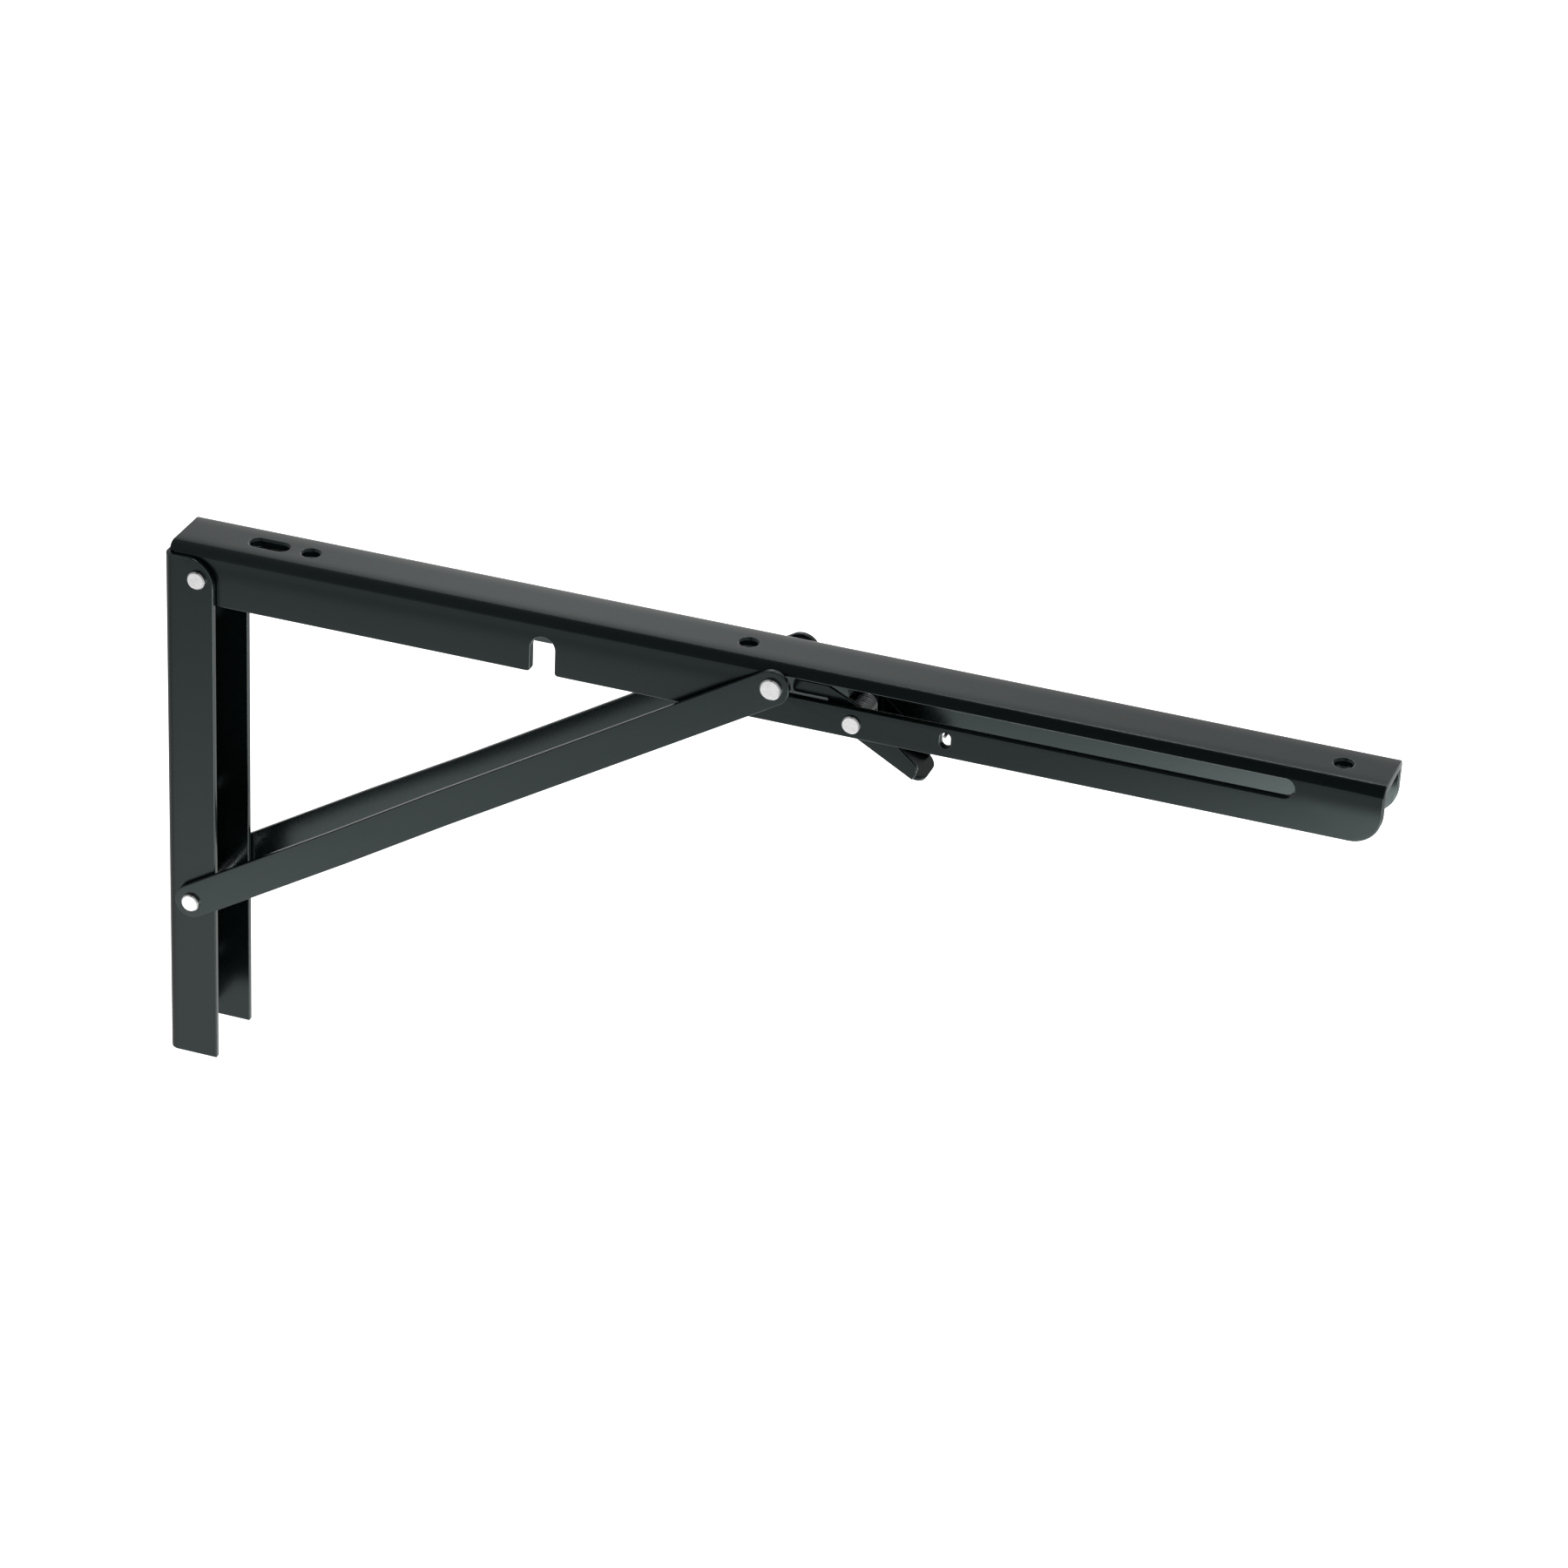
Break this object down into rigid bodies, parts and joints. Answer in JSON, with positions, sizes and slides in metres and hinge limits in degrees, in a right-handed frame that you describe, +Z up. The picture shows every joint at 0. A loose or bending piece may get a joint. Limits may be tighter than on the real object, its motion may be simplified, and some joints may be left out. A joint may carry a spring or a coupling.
{
  "type": "folding shelf bracket",
  "caption": "Folding shelf bracket: a slotted arm hinged in a wall channel, propped by a sliding strut and let down by a sprung finger lever.",
  "frame": {"origin": "on the wall channel's back face, in the bracket's mid-plane, level with the arm's hinge axis", "axes": "+X from the wall along the arm, +Y across the bracket away from the pictured side, +Z up"},
  "size_m": [0.4009, 0.0362, 0.1884],
  "materials": {
    "powder_coat": "satin black powder coat",
    "plated_rivet": "bright zinc plate",
    "spring_wire": "drawn steel wire"
  },
  "bodies": {
    "wall": {"wall_channel": "powder_coat", "hinge_pin": "plated_rivet", "foot_pin": "plated_rivet"},
    "arm": {"shelf_arm": "powder_coat", "lever_pin": "plated_rivet", "lever_spring": "spring_wire"},
    "strut": {"strut_bar_left": "powder_coat", "strut_bar_right": "powder_coat", "strut_rivet_left": "plated_rivet", "strut_rivet_right": "plated_rivet"},
    "studs": {"slide_stud_left": "plated_rivet", "slide_stud_right": "plated_rivet"},
    "lever": {"release_lever": "powder_coat"}
  },
  "joints": [
    {"name": "fold", "type": "hinge", "parent": "wall", "child": "arm", "pos_m": [0.012, 0, 0], "axis": [0, 1, 0], "range_deg": [0, 90]},
    {"name": "strut_swing", "type": "hinge", "parent": "wall", "child": "strut", "pos_m": [0.01, 0, -0.118], "axis": [0, 1, 0], "range_deg": [0, 120.26]},
    {"name": "stud_slide", "type": "slide", "parent": "arm", "child": "studs", "axis": [1, 0, 0], "range_m": [0, 0.15447]},
    {"name": "lever_press", "type": "hinge", "parent": "arm", "child": "lever", "pos_m": [0.2328, 0, -0.0047], "axis": [0, -1, 0], "range_deg": [0, 26], "stiffness_Nm_per_rad": 0.3, "springref_deg": -20.05, "deforming": ["lever_spring"]}
  ],
  "couplings": [
    {"joint": "strut_swing", "follows": "fold", "ratio": 1.3362},
    {"joint": "stud_slide", "follows": "fold", "m_per_rad": 0.098339}
  ]
}
